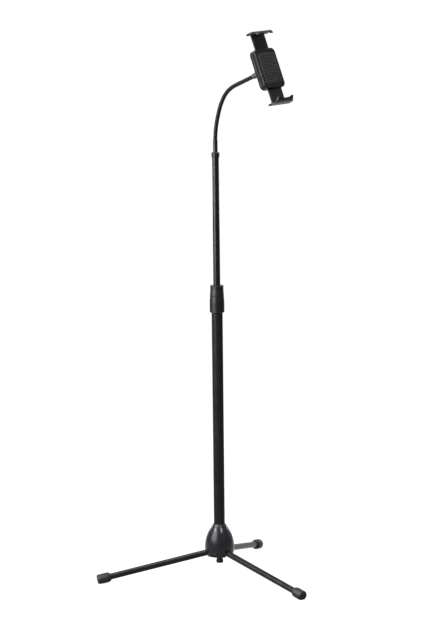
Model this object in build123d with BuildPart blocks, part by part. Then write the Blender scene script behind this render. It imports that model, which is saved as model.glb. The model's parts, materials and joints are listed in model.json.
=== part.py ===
from build123d import *
import math
import os

# Tablet floor stand: tripod base, telescopic mast, gooseneck and a two-jaw holder.
# Millimetres, +Z up, the floor at Z = 0, the reader stands on the -Y side.
# The origin is the middle of the footprint; the mast stands behind it, at Y = mast_y.

os.makedirs("parts", exist_ok=True)

# Clearances
running_fit = 0.08      # pin or shaft in its bore
loose_gap = 0.35        # moving parts that only pass each other
seat_gap = 0.05         # parts of one body that are pressed together
part_line = 0.4         # visible line between two covers
socket_share = 0.6      # hexagon of a grub screw, as a share of its radius
edge_break = 0.6        # bevel on turned metal edges
edge_round = 0.8        # round on moulded edges

# Legs and feet
leg_radius = 7.1
leg_wall = 1.2
leg_reach = 271.0       # mast axis to the middle of a foot
foot_wall_thickness = 4.1   # rubber round the tube
foot_lip_thickness = 0.8
foot_length = 32.0
foot_shoulder = 4.0
foot_end_wall = 4.5     # rubber beyond the end of the tube
foot_round = 2.4
front_azimuth = -90.0
leg_azimuths = {"front": front_azimuth, "right": front_azimuth + 120, "left": front_azimuth + 240}

# Hub
apex_height = 64.5      # the three leg axes meet here, on the mast axis
hub_below_apex = 13.5
hub_height = 68.5
hub_belly_rise = 19.0   # from the bottom of the hub to its widest place
hub_radius = 34.0
hub_rim_share = 0.9     # radius of the lower rim, as a share of the widest
hub_wall = 2.6
hub_neck_wall = 4.4     # egg round the mast at its top
pivot_from_outside = 12.0
pin_radius = 2.5
pin_grip = 8.4          # pin beyond the knuckle, on each side
heel_shoulder = 1.4     # solid knuckle beyond its round end
heel_plug_length = 20.0
base_plate_thickness = 4.4
base_plate_round = 1.2
fork_room = 1.0         # between the fork and the egg's lower edge
cup_room = 2.0          # between the cup and the egg's widest place
cup_wall = 5.2
cup_floor_thickness = 4.2
cup_round = 2.0
mast_cup_wall = 3.5
mast_cup_depth = 10.0   # top of the mast's cup below the top of the egg
disc_room = 0.6
disc_thickness = 3.2
disc_lift = 0.8         # room for the stud's head when the legs are free
bolt_from_edge = 5.6
bolt_radius = 2.0
bolt_head_rim = 1.5
bolt_head_height = 2.4
bolt_socket_depth = 1.4
bolt_socket_share = 0.8
bolt_end_room = 0.6
stud_radius = 4.0
stud_head_across = 13.0
stud_head_height = 4.4
knob_height = 17.35
knob_neck_wall = 3.2
knob_rim = 0.9
knob_head_height = 7.0
knob_bore_depth = 13.0
knob_bore_room = 1.0        # between the end of the stud and the end of the bore
knob_flutes = 16
flute_radius = 0.9
flute_depth = 0.4
shell_screw_rise = 10.0     # above the bottom of the hub
shell_screw_radius = 1.6
shell_screw_head_rim = 1.3
shell_screw_head_height = 1.5
shell_screw_socket_depth = 1.0
shell_screw_depth = 2.4     # head seat below the widest radius of the egg
shell_screw_grip = 6.5      # how deep the screw reaches into the fork
top_ring_height = 6.0
top_ring_wall = 0.9
top_ring_land = 0.6
set_screw_radius = 2.5
set_screw_drop = 13.0       # below the top of the mast's cup
set_screw_stand = 1.0       # how far the set screw stands out of the cup
set_screw_socket_depth = 2.0

# Mast
lower_tube_radius = 12.7
lower_tube_wall = 1.2
lower_tube_length = 569.8
upper_tube_radius = 7.95
upper_tube_wall = 1.2
upper_tube_length = 478.0
upper_tube_out = 331.0      # drawn out of the lower tube in the photograph
bush_height = 24.0

# Clutch, measured from the top of the lower tube
clutch_skirt = 31.4         # body below the top of the tube
clutch_line_rise = 6.5      # parting line between body and nut
clutch_top_rise = 31.9
thread_top_rise = 21.5
clutch_wall = 3.2           # body round the lower tube at the parting line
clutch_foot_wall = 1.0
clutch_bevel = 2.0
clutch_crown = 0.9          # how much the body stands out past the parting line
clutch_crown_height = 16.0  # the body widens to its full size over this height
nut_wall = 2.6
nut_shoulder = 0.8
nut_taper = 18.0
nut_land = 2.0
cap_height = 4.4
cap_rim = 0.2
cap_groove = 0.6
cap_round = 0.5
thread_room = 0.9           # between the collet's flange and the thread
collet_ledge = 2.4
collet_wall = 1.65
collet_flange = 2.0
collet_flange_height = 2.2
collet_slot_width = 1.2
collet_slot_height = 14.0

# Ferrule and gooseneck
ferrule_skirt = 6.2         # collar below the top of the upper tube
ferrule_head = 5.3
ferrule_wall = 1.4
ferrule_round = 1.4
ferrule_plug_length = 26.0
grub_radius = 1.5
grub_sink = 0.5
grub_socket_depth = 1.5
neck_radius = 4.7
neck_foot_depth = 24.0      # neck below the ferrule's top
neck_straight = 23.7        # straight run above the ferrule's top
neck_base_bend = 28.0
neck_base_turn = 9.0
link_length = 26.5
link_turns = [8, 6, 12, 20, 14, 0, 0, 0]    # degrees that each link bends forward at rest
joint_gap = 1.2
joint_ball_share = 0.65
sleeve_wall = 0.6
sleeve_bevel = 0.4
sleeve_short = 22.7         # neck base that shows above the sleeve

# Ball joint
ball_radius = 8.5
stud_neck_share = 0.68      # neck of the ball stud, as a share of the gooseneck
crimp_from_ball = 5.5
crimp_length = 16.0
crimp_wall = 1.4
crimp_bore_depth = 14.0
crimp_round = 1.0
seat_wall = 2.5
seat_mouth = 3.0
seat_floor = 1.4
seat_slot_width = 1.4
seat_slot_depth = 7.0
ring_bevel = 1.0
ring_flute_depth = 0.65
barrel_wall = 2.2
barrel_mouth = 3.6
ring_wall = 3.7
ring_lip = 1.9
ring_mouth_rim = 1.0        # lip of the ring inside the seat's radius
ring_from_housing = 4.0
ring_flutes = 14
ring_flute_radius = 1.3

# Holder: its plane lies on the ball, local X to the reader's right, local Y up the tablet
holder_tilt = 23.5          # degrees that the tablet faces upwards
holder_turn = 2.0           # degrees that it is turned about its own normal
jaw_opening = 158.0
housing_width = 62.0
housing_height = 92.0
housing_corner = 11.0
housing_stand = 1.5         # rear face in front of the ball
housing_shell_depth = 9.0   # rear shell, and front shell as well
housing_wall = 2.4
housing_edge = 2.2
pad_thickness = 1.5
pad_side_margin = 7.0
pad_end_margin = 10.0
pad_corner = 7.0
pad_round = 0.7
boss_from_side = 6.5
boss_from_end = 8.0
boss_wall = 0.7
case_screw_radius = 1.5
case_screw_head_rim = 1.4
case_screw_head_height = 1.8
case_screw_room = 1.4       # end of the screw below the front wall
case_screw_slot = 0.8
case_screw_slot_depth = 1.1
arm_side_room = 12.0
arm_thickness = 4.0
arm_from_split = 0.4
rail_from_edge = 6.0
rail_width = 3.0
rail_end_room = 13.0
guide_wall = 1.8
upper_arm_end = -2.0        # inner end of the sliding arm at rest
lower_arm_grip = 8.0        # fixed arm beyond its screws
arm_screw_x = 9.0
jaw_width = 60.0
jaw_floor = 3.6
jaw_slot = 10.5             # flat floor for the tablet, between front pad and lip
hook_depth = 10.5           # lip in front of the flat floor
hook_start = 4.0            # flat floor outside, in front of the front pad
hook_bulge = 2.4            # how far the hook's outer side swells past a straight line
lip_height = 6.2            # tip above the tablet's edge
lip_thickness = 3.4
lip_width = 43.0
lip_dip_width = 34.0
lip_dip_depth = 3.8
lip_round = 1.4
jaw_pad_thickness = 1.2
jaw_pad_margin = 5.0

# Thumb screw of the sliding arm
thumb_from_end = 12.0
thumb_radius = 8.0
thumb_head_height = 8.0
thumb_collar_radius = 4.2
thumb_collar_height = 1.4
thumb_stem_radius = 2.5
thumb_lobes = 8
thumb_lobe_radius = 1.6
thumb_lobe_depth = 1.0
thumb_bevel = 0.5
shoe_radius = 4.6
shoe_thickness = 1.6
nut_across = 8.0
nut_height = 3.6
nut_boss_wall = 2.8

# Worked out from the sizes above
foot_radius = leg_radius + foot_wall_thickness
foot_lip_radius = leg_radius + foot_lip_thickness
pivot_reach = hub_radius - pivot_from_outside
pin_length = 2 * (leg_radius + pin_grip)
heel_length = leg_radius + heel_shoulder
leg_slope = math.degrees(math.atan((apex_height - foot_radius) / leg_reach))
slope = math.radians(leg_slope)
pivot_height = apex_height - pivot_reach * math.tan(slope)
foot_middle = (leg_reach - pivot_reach) / math.cos(slope)
foot_start = foot_middle - foot_length / 2
foot_end = foot_middle + foot_length / 2
leg_end = foot_end - foot_end_wall
foot_tip = leg_reach + foot_length / 2 * math.cos(slope) + foot_radius * math.sin(slope)
back_foot_tip = foot_tip * math.sin(math.radians(30)) + foot_radius * math.cos(math.radians(30))
mast_y = (foot_tip - back_foot_tip) / 2

hub_bottom = apex_height - hub_below_apex
hub_belly = hub_bottom + hub_belly_rise
hub_top = hub_bottom + hub_height
hub_top_radius = lower_tube_radius + hub_neck_wall
hub_rim_radius = hub_radius * hub_rim_share
fork_radius = hub_rim_radius - hub_wall + fork_room
cup_radius = hub_radius - hub_wall - cup_room
cup_inner_radius = cup_radius - cup_wall
mast_cup_radius = lower_tube_radius + mast_cup_wall
mast_cup_top = hub_top - mast_cup_depth
set_screw_height = mast_cup_top - set_screw_drop
disc_radius = cup_inner_radius - disc_room
bolt_reach = disc_radius - bolt_from_edge
bolt_head_radius = bolt_radius + bolt_head_rim
bolt_socket_radius = bolt_radius * bolt_socket_share
slot_width = 2 * (leg_radius + loose_gap)
slot_inner = pivot_reach - leg_radius - loose_gap
fork_bottom = hub_bottom + base_plate_thickness
shell_bottom = fork_bottom + part_line
fork_top = pivot_height + leg_radius
disc_bottom = fork_top + loose_gap
disc_top = disc_bottom + disc_thickness
cup_floor_height = disc_top + stud_head_height + disc_lift
tube_floor = cup_floor_height + cup_floor_thickness
bolt_top = tube_floor - bolt_end_room
knob_top = hub_bottom - loose_gap
knob_bottom = knob_top - knob_height
knob_neck_radius = stud_radius + knob_neck_wall
knob_radius = knob_neck_radius + knob_rim
stud_bottom = knob_top - knob_bore_depth + knob_bore_room
shell_screw_height = hub_bottom + shell_screw_rise
shell_screw_head_radius = shell_screw_radius + shell_screw_head_rim
shell_screw_tip = fork_radius - shell_screw_grip
shell_screw_seat = hub_radius - shell_screw_depth
top_ring_radius = lower_tube_radius + top_ring_wall
between_legs = [front_azimuth + 60 + 120 * k for k in range(3)]

lower_bore = lower_tube_radius - lower_tube_wall
lower_tube_top = tube_floor + lower_tube_length
tube_passage = upper_tube_radius + loose_gap
upper_tube_top = lower_tube_top + upper_tube_out
upper_tube_bottom = upper_tube_top - upper_tube_length
clutch_bottom = lower_tube_top - clutch_skirt
clutch_line = lower_tube_top + clutch_line_rise
clutch_top = lower_tube_top + clutch_top_rise
thread_top = lower_tube_top + thread_top_rise
collet_radius = upper_tube_radius + collet_wall
collet_flange_radius = collet_radius + collet_flange
collet_bottom = lower_tube_top + collet_ledge + loose_gap
collet_flange_bottom = thread_top + loose_gap
collet_top = collet_flange_bottom + collet_flange_height
thread_radius = collet_flange_radius + thread_room
nut_radius = thread_radius + nut_wall
nut_taper_top = clutch_line + nut_taper
nut_ceiling = collet_top + loose_gap
cap_bottom = clutch_top - cap_height
cap_radius = nut_radius + cap_rim
clutch_line_radius = max(nut_radius + nut_shoulder, lower_tube_radius + clutch_wall)
clutch_radius = clutch_line_radius + clutch_crown
clutch_foot_radius = lower_tube_radius + clutch_foot_wall
clutch_crown_start = clutch_line - clutch_crown_height
ferrule_bottom = upper_tube_top - ferrule_skirt
ferrule_top = upper_tube_top + ferrule_head
ferrule_radius = upper_tube_radius + ferrule_wall
ferrule_plug_bottom = upper_tube_top - ferrule_plug_length
grub_height = (ferrule_bottom + upper_tube_top) / 2
joint_ball_radius = neck_radius * joint_ball_share

stud_neck_radius = neck_radius * stud_neck_share
crimp_start = ball_radius + crimp_from_ball     # along the stud, from the middle of the ball
crimp_radius = neck_radius + seat_gap + crimp_wall
seat_radius = ball_radius + seat_wall
barrel_radius = seat_radius + loose_gap
barrel_outer = barrel_radius + barrel_wall
barrel_floor = ball_radius + running_fit + seat_floor + loose_gap
ring_bore = barrel_outer + loose_gap
ring_radius = ring_bore + ring_wall
ring_mouth_radius = seat_radius - ring_mouth_rim
ring_back = -barrel_mouth - loose_gap - ring_lip
housing_back_face = ball_radius + housing_stand     # distances in front of the middle of the ball
housing_split = housing_back_face + housing_shell_depth
housing_front_face = housing_split + housing_shell_depth
ring_front = housing_back_face - ring_from_housing
arm_back = housing_split + arm_from_split
arm_front = arm_back + arm_thickness
arm_width = housing_width - 2 * arm_side_room
rail_x = arm_width / 2 - rail_from_edge
rail_length = housing_height - 2 * rail_end_room
boss_x = housing_width / 2 - boss_from_side
boss_y = housing_height / 2 - boss_from_end
lower_arm_end = lower_arm_grip - boss_y
pad_width = housing_width - 2 * pad_side_margin
pad_height = housing_height - 2 * pad_end_margin
window_front = arm_front + loose_gap
pad_face = housing_front_face + pad_thickness
lip_back = pad_face + jaw_slot
lip_front = lip_back + hook_depth
jaw_inner = jaw_opening / 2
jaw_seat = jaw_inner + jaw_pad_thickness
jaw_outer = jaw_seat + jaw_floor
jaw_pad_width = jaw_width - 2 * jaw_pad_margin
case_screw_head_radius = case_screw_radius + case_screw_head_rim
boss_radius = case_screw_head_radius + boss_wall
case_screw_seat = housing_back_face + case_screw_head_height
case_screw_length = housing_front_face - housing_wall - case_screw_room - case_screw_seat
thumb_y = housing_height / 2 - thumb_from_end
nut_boss_radius = nut_across / 2 + nut_boss_wall
shoe_back = arm_back - shoe_thickness - seat_gap

# Planes and axis of the mast
mast = Plane((0, mast_y, 0))
section = Plane(origin=(0, mast_y, 0), x_dir=(1, 0, 0), z_dir=(0, -1, 0))
side = Plane(origin=(0, mast_y, 0), x_dir=(0, -1, 0), z_dir=(-1, 0, 0))
mast_axis = Axis((0, mast_y, 0), (0, 0, 1))


def outward(azimuth):
    """Level direction away from the mast."""
    return Vector(math.cos(math.radians(azimuth)), math.sin(math.radians(azimuth)), 0)


def radial_plane(azimuth, height):
    """Plane through the mast axis at a height, with Z pointing away from the mast."""
    return Plane(origin=(0, mast_y, height), x_dir=(0, 0, 1), z_dir=outward(azimuth))


def leg_planes(azimuth):
    """Two planes at the pin of a leg: across the leg, with Z down the leg, and across the pin."""
    pin = Vector(0, mast_y, pivot_height) + outward(azimuth) * pivot_reach
    along_pin = outward(azimuth + 90)
    down_leg = outward(azimuth) * math.cos(slope) - Vector(0, 0, math.sin(slope))
    across_leg = Plane(origin=pin, x_dir=along_pin, z_dir=down_leg)
    across_pin = Plane(origin=pin, x_dir=down_leg, z_dir=along_pin)
    return across_leg, across_pin


def egg_outline(shrink, low):
    """Half outline of the egg, shrunk by a wall and closed at the height low."""
    rim_radius = hub_rim_radius - shrink
    top_radius = hub_top_radius - shrink
    belly = (hub_radius - shrink, hub_belly)
    if low < hub_bottom:
        Line((rim_radius, low), (rim_radius, hub_bottom))
    TangentArc(belly, (rim_radius, hub_bottom), tangent=(0, -1))
    TangentArc(belly, (top_radius, hub_top), tangent=(0, 1))
    Polyline((top_radius, hub_top), (0, hub_top), (0, low), (rim_radius, low))


def ring(inner, outer, bottom, top):
    """Half section of a plain ring, drawn on the section plane."""
    with Locations(((inner + outer) / 2, (bottom + top) / 2)):
        Rectangle(outer - inner, top - bottom)


# Egg-shaped cover of the hub
with BuildPart() as hub_shell:
    with BuildSketch(section):
        with BuildLine():
            egg_outline(0, hub_bottom)
        make_face()
        with BuildLine():
            egg_outline(hub_wall, hub_bottom - hub_wall)
        make_face(mode=Mode.SUBTRACT)
        with Locations((0, hub_bottom)):
            Rectangle(2 * hub_radius + 2, 2 * (shell_bottom - hub_bottom), mode=Mode.SUBTRACT)
    revolve(axis=mast_axis)
    with BuildSketch(mast.offset(hub_bottom)):
        Circle(lower_tube_radius + seat_gap)
    extrude(amount=hub_top, mode=Mode.SUBTRACT)
    for azimuth in leg_azimuths.values():
        across_leg, across_pin = leg_planes(azimuth)
        with BuildSketch(across_leg):
            Circle(leg_radius + loose_gap)
            with Locations((0, -leg_radius)):
                Rectangle(slot_width, 2 * leg_radius)
        extrude(amount=hub_radius, mode=Mode.SUBTRACT)
    for azimuth in between_legs:
        screw_plane = radial_plane(azimuth, shell_screw_height)
        with BuildSketch(screw_plane):
            Circle(shell_screw_radius + seat_gap)
        extrude(amount=hub_radius + 1, mode=Mode.SUBTRACT)
        with BuildSketch(screw_plane.offset(shell_screw_seat)):
            Circle(shell_screw_head_radius + seat_gap)
        extrude(amount=shell_screw_depth + 1, mode=Mode.SUBTRACT)
hub_shell.part.label = "hub_shell"
export_step(hub_shell.part, "parts/hub_shell.step")

# Ring where the mast leaves the egg
with BuildPart() as hub_top_ring:
    with BuildSketch(section):
        with BuildLine():
            Polyline(
                (lower_tube_radius + seat_gap, hub_top),
                (hub_top_radius, hub_top),
                (hub_top_radius, hub_top + top_ring_land),
                (top_ring_radius, hub_top + top_ring_height),
                (lower_tube_radius + seat_gap, hub_top + top_ring_height),
                close=True,
            )
        make_face()
    revolve(axis=mast_axis)
    top_rims = hub_top_ring.edges().filter_by(GeomType.CIRCLE).group_by(Axis.Z)[-1]
    fillet(top_rims.sort_by(SortBy.RADIUS)[-1], edge_round)
hub_top_ring.part.label = "hub_top_ring"
export_step(hub_top_ring.part, "parts/hub_top_ring.step")

# Plate that closes the egg from below, open where the legs fold down
with BuildPart() as hub_base_plate:
    with BuildSketch(section):
        with BuildLine():
            egg_outline(0, hub_bottom)
        make_face()
        with Locations((hub_radius / 2, (hub_bottom + fork_bottom) / 2)):
            Rectangle(hub_radius + 2, base_plate_thickness, mode=Mode.INTERSECT)
    revolve(axis=mast_axis)
    fillet(hub_base_plate.edges().filter_by(GeomType.CIRCLE).group_by(Axis.Z)[0], base_plate_round)
    with BuildSketch(mast.offset(hub_bottom)):
        with PolarLocations(slot_inner + hub_radius / 2, 3, start_angle=front_azimuth):
            Rectangle(hub_radius, slot_width)
        Circle(stud_radius + loose_gap)
        with PolarLocations(bolt_reach, 3, start_angle=between_legs[0]):
            Circle(bolt_radius + seat_gap)
    extrude(amount=base_plate_thickness, mode=Mode.SUBTRACT)
    with BuildSketch(mast.offset(hub_bottom)):
        with PolarLocations(bolt_reach, 3, start_angle=between_legs[0]):
            Circle(bolt_head_radius + seat_gap)
    extrude(amount=bolt_head_height, mode=Mode.SUBTRACT)
hub_base_plate.part.label = "hub_base_plate"
export_step(hub_base_plate.part, "parts/hub_base_plate.step")

# Cast block that carries the three legs
with BuildPart() as hub_fork:
    with BuildSketch(mast.offset(fork_bottom)):
        Circle(fork_radius)
        with PolarLocations(slot_inner + hub_radius / 2, 3, start_angle=front_azimuth):
            Rectangle(hub_radius, slot_width, mode=Mode.SUBTRACT)
        Circle(stud_radius + loose_gap, mode=Mode.SUBTRACT)
        with PolarLocations(bolt_reach, 3, start_angle=between_legs[0]):
            Circle(bolt_radius + seat_gap, mode=Mode.SUBTRACT)
    extrude(amount=fork_top - fork_bottom)
    for azimuth in leg_azimuths.values():
        across_leg, across_pin = leg_planes(azimuth)
        with BuildSketch(across_pin):
            Circle(pin_radius + seat_gap)
        extrude(amount=fork_radius, both=True, mode=Mode.SUBTRACT)
    for azimuth in between_legs:
        with BuildSketch(radial_plane(azimuth, shell_screw_height).offset(shell_screw_tip)):
            Circle(shell_screw_radius + seat_gap)
        extrude(amount=fork_radius, mode=Mode.SUBTRACT)
hub_fork.part.label = "hub_fork"
export_step(hub_fork.part, "parts/hub_fork.step")

# Cast cup on the fork, with the tube that takes the mast
with BuildPart() as hub_socket:
    with BuildSketch(section):
        ring(cup_inner_radius, cup_radius, fork_top, cup_floor_height)
        ring(0, cup_radius, cup_floor_height, tube_floor)
        ring(lower_tube_radius + seat_gap, mast_cup_radius, tube_floor, mast_cup_top)
    revolve(axis=mast_axis)
    cup_edges = hub_socket.edges().filter_by(GeomType.CIRCLE)
    fillet(cup_edges.filter_by(lambda e: e.radius > cup_radius - 0.1).group_by(Axis.Z)[-1], cup_round)
    with BuildSketch(mast.offset(cup_floor_height)):
        with PolarLocations(bolt_reach, 3, start_angle=between_legs[0]):
            Circle(bolt_radius + seat_gap)
    extrude(amount=bolt_top - cup_floor_height + seat_gap, mode=Mode.SUBTRACT)
    with BuildSketch(radial_plane(90, set_screw_height).offset(lower_tube_radius)):
        Circle(set_screw_radius + seat_gap)
    extrude(amount=mast_cup_radius, mode=Mode.SUBTRACT)
hub_socket.part.label = "hub_socket"
export_step(hub_socket.part, "parts/hub_socket.step")

# Bolts through plate, fork and disc into the cup
with BuildPart() as hub_bolts:
    with BuildSketch(mast.offset(hub_bottom)):
        with PolarLocations(bolt_reach, 3, start_angle=between_legs[0]):
            Circle(bolt_head_radius)
    extrude(amount=bolt_head_height)
    with BuildSketch(mast.offset(hub_bottom)):
        with PolarLocations(bolt_reach, 3, start_angle=between_legs[0]):
            RegularPolygon(bolt_socket_radius, 6)
    extrude(amount=bolt_socket_depth, mode=Mode.SUBTRACT)
    with BuildSketch(mast.offset(hub_bottom + bolt_head_height)):
        with PolarLocations(bolt_reach, 3, start_angle=between_legs[0]):
            Circle(bolt_radius)
    extrude(amount=bolt_top - hub_bottom - bolt_head_height)
hub_bolts.part.label = "hub_bolts"
export_step(hub_bolts.part, "parts/hub_bolts.step")

# Screws that hold the egg on the fork
with BuildPart() as hub_shell_screws:
    for azimuth in between_legs:
        screw_plane = radial_plane(azimuth, shell_screw_height)
        with BuildSketch(screw_plane.offset(shell_screw_tip)):
            Circle(shell_screw_radius)
        extrude(amount=shell_screw_seat - shell_screw_tip)
        with BuildSketch(screw_plane.offset(shell_screw_seat)):
            Circle(shell_screw_head_radius)
        extrude(amount=shell_screw_head_height)
        with BuildSketch(screw_plane.offset(shell_screw_seat + shell_screw_head_height)):
            RegularPolygon(shell_screw_radius, 6)
        extrude(amount=-shell_screw_socket_depth, mode=Mode.SUBTRACT)
hub_shell_screws.part.label = "hub_shell_screws"
export_step(hub_shell_screws.part, "parts/hub_shell_screws.step")

# Pins that the legs turn on
with BuildPart() as pivot_pins:
    for azimuth in leg_azimuths.values():
        across_leg, across_pin = leg_planes(azimuth)
        with BuildSketch(across_pin):
            Circle(pin_radius)
        extrude(amount=pin_length / 2, both=True)
    chamfer(pivot_pins.edges().filter_by(GeomType.CIRCLE), edge_break)
pivot_pins.part.label = "pivot_pins"
export_step(pivot_pins.part, "parts/pivot_pins.step")

# Disc that clamps the leg knuckles
with BuildPart() as clamp_disc:
    with BuildSketch(mast.offset(disc_bottom)):
        Circle(disc_radius)
        Circle(stud_radius + seat_gap, mode=Mode.SUBTRACT)
        with PolarLocations(bolt_reach, 3, start_angle=between_legs[0]):
            Circle(bolt_radius + loose_gap, mode=Mode.SUBTRACT)
    extrude(amount=disc_thickness)
    disc_edges = clamp_disc.edges().filter_by(GeomType.CIRCLE)
    chamfer(disc_edges.filter_by(lambda e: e.radius > disc_radius - 0.1), edge_break)
clamp_disc.part.label = "clamp_disc"
export_step(clamp_disc.part, "parts/clamp_disc.step")

# Threaded rod that pulls the disc down
with BuildPart() as lock_stud:
    with BuildSketch(mast.offset(disc_top)):
        RegularPolygon(stud_head_across / 2, 6, major_radius=False)
    extrude(amount=stud_head_height)
    with BuildSketch(mast.offset(stud_bottom)):
        Circle(stud_radius)
    extrude(amount=disc_top - stud_bottom)
    chamfer(lock_stud.edges().filter_by(GeomType.CIRCLE).group_by(Axis.Z)[0], edge_break)
lock_stud.part.label = "lock_stud"
export_step(lock_stud.part, "parts/lock_stud.step")

# Knob under the hub
with BuildPart() as lock_knob:
    with BuildSketch(section):
        ring(0, knob_radius, knob_bottom, knob_bottom + knob_head_height)
        ring(0, knob_neck_radius, knob_bottom + knob_head_height, knob_top)
        with Locations((0, knob_top - knob_bore_depth / 2)):
            Rectangle(2 * (stud_radius + running_fit), knob_bore_depth, mode=Mode.SUBTRACT)
    revolve(axis=mast_axis)
    knob_edges = lock_knob.edges().filter_by(GeomType.CIRCLE)
    fillet(knob_edges.filter_by(lambda e: e.radius > knob_radius - 0.1), edge_round)
    with BuildSketch(mast.offset(knob_bottom)):
        with PolarLocations(knob_radius + flute_radius - flute_depth, knob_flutes):
            Circle(flute_radius)
    extrude(amount=knob_head_height, mode=Mode.SUBTRACT)
lock_knob.part.label = "lock_knob"
export_step(lock_knob.part, "parts/lock_knob.step")

# Grub screw that holds the mast in the cup
with BuildPart() as mast_set_screw:
    with BuildSketch(radial_plane(90, set_screw_height).offset(lower_tube_radius + seat_gap)):
        Circle(set_screw_radius)
    extrude(amount=mast_cup_radius + set_screw_stand - lower_tube_radius - seat_gap)
    with BuildSketch(radial_plane(90, set_screw_height).offset(mast_cup_radius + set_screw_stand)):
        RegularPolygon(set_screw_radius * socket_share, 6)
    extrude(amount=-set_screw_socket_depth, mode=Mode.SUBTRACT)
mast_set_screw.part.label = "mast_set_screw"
export_step(mast_set_screw.part, "parts/mast_set_screw.step")

# Legs: knuckle, tube and rubber foot, three times
for side_name, azimuth in leg_azimuths.items():
    across_leg, across_pin = leg_planes(azimuth)

    with BuildPart() as leg_heel:
        with BuildSketch(across_pin):
            Circle(leg_radius)
            with Locations((heel_length / 2, 0)):
                Rectangle(heel_length, 2 * leg_radius)
        extrude(amount=leg_radius, both=True)
        with BuildSketch(across_leg):
            Circle(leg_radius)
        extrude(amount=heel_length + leg_radius, both=True, mode=Mode.INTERSECT)
        with BuildSketch(across_leg.offset(heel_length)):
            Circle(leg_radius - leg_wall - seat_gap)
        extrude(amount=heel_plug_length)
        with BuildSketch(across_pin):
            Circle(pin_radius + running_fit)
        extrude(amount=leg_radius + 1, both=True, mode=Mode.SUBTRACT)
    leg_heel.part.label = f"leg_heel_{side_name}"
    export_step(leg_heel.part, f"parts/leg_heel_{side_name}.step")

    with BuildPart() as leg_tube:
        with BuildSketch(across_leg.offset(heel_length)):
            Circle(leg_radius)
            Circle(leg_radius - leg_wall, mode=Mode.SUBTRACT)
        extrude(amount=leg_end - heel_length)
    leg_tube.part.label = f"leg_tube_{side_name}"
    export_step(leg_tube.part, f"parts/leg_tube_{side_name}.step")

    with BuildPart() as foot:
        with BuildSketch(across_pin):
            with BuildLine():
                Polyline(
                    (foot_end, 0),
                    (foot_end, foot_radius),
                    (foot_start + foot_shoulder, foot_radius),
                    (foot_start, foot_lip_radius),
                    (foot_start, leg_radius + seat_gap),
                    (leg_end + seat_gap, leg_radius + seat_gap),
                    (leg_end + seat_gap, 0),
                    close=True,
                )
            make_face()
        leg_axis = Axis(across_leg.origin, across_leg.z_dir)
        revolve(axis=leg_axis)
        fillet(foot.edges().filter_by(GeomType.CIRCLE).sort_by(leg_axis)[-1], foot_round)
        split(bisect_by=Plane.XY, keep=Keep.TOP)
    foot.part.label = f"foot_{side_name}"
    export_step(foot.part, f"parts/foot_{side_name}.step")

# Lower tube of the mast
with BuildPart() as lower_tube:
    with BuildSketch(mast.offset(tube_floor)):
        Circle(lower_tube_radius)
        Circle(lower_bore, mode=Mode.SUBTRACT)
    extrude(amount=lower_tube_top - tube_floor)
lower_tube.part.label = "lower_tube"
export_step(lower_tube.part, "parts/lower_tube.step")

# Clutch body, pressed on the lower tube, with the thread for the nut
with BuildPart() as clutch_body:
    with BuildSketch(section):
        with BuildLine():
            Polyline(
                (clutch_line_radius, clutch_line - part_line / 2),
                (thread_radius, clutch_line - part_line / 2),
                (thread_radius, thread_top),
                (collet_radius + loose_gap, thread_top),
                (collet_radius + loose_gap, lower_tube_top + collet_ledge),
                (tube_passage, lower_tube_top + collet_ledge),
                (tube_passage, lower_tube_top),
                (lower_tube_radius + seat_gap, lower_tube_top),
                (lower_tube_radius + seat_gap, clutch_bottom),
                (clutch_foot_radius, clutch_bottom),
                (clutch_radius, clutch_bottom + clutch_bevel),
                (clutch_radius, clutch_crown_start),
            )
            TangentArc(
                (clutch_radius, clutch_crown_start),
                (clutch_line_radius, clutch_line - part_line / 2),
                tangent=(0, 1),
            )
        make_face()
    revolve(axis=mast_axis)
    body_rims = clutch_body.edges().filter_by(GeomType.CIRCLE)
    fillet(body_rims.filter_by(lambda e: e.radius > clutch_radius - 0.01).sort_by(Axis.Z)[0], edge_round)
clutch_body.part.label = "clutch_body"
export_step(clutch_body.part, "parts/clutch_body.step")

# Clutch nut
with BuildPart() as clutch_nut:
    with BuildSketch(section):
        with BuildLine():
            Polyline(
                (thread_radius + loose_gap, clutch_line + part_line / 2),
                (clutch_line_radius, clutch_line + part_line / 2),
                (clutch_line_radius, clutch_line + nut_land),
            )
            Spline(
                (clutch_line_radius, clutch_line + nut_land),
                (nut_radius, nut_taper_top),
                tangents=[(0, 1), (0, 1)],
            )
            Polyline(
                (nut_radius, nut_taper_top),
                (nut_radius, cap_bottom),
                (tube_passage, cap_bottom),
                (tube_passage, nut_ceiling),
                (thread_radius + loose_gap, nut_ceiling),
                (thread_radius + loose_gap, clutch_line + part_line / 2),
            )
        make_face()
    revolve(axis=mast_axis)
clutch_nut.part.label = "clutch_nut"
export_step(clutch_nut.part, "parts/clutch_nut.step")

# Rim ring on top of the nut
with BuildPart() as clutch_cap:
    with BuildSketch(section):
        ring(tube_passage, nut_radius - cap_groove, cap_bottom, cap_bottom + cap_groove)
        ring(tube_passage, cap_radius, cap_bottom + cap_groove, clutch_top)
    revolve(axis=mast_axis)
    cap_rims = clutch_cap.edges().filter_by(GeomType.CIRCLE).filter_by(lambda e: e.radius > cap_radius - 0.1)
    fillet(cap_rims, cap_round)
clutch_cap.part.label = "clutch_cap"
export_step(clutch_cap.part, "parts/clutch_cap.step")

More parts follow.
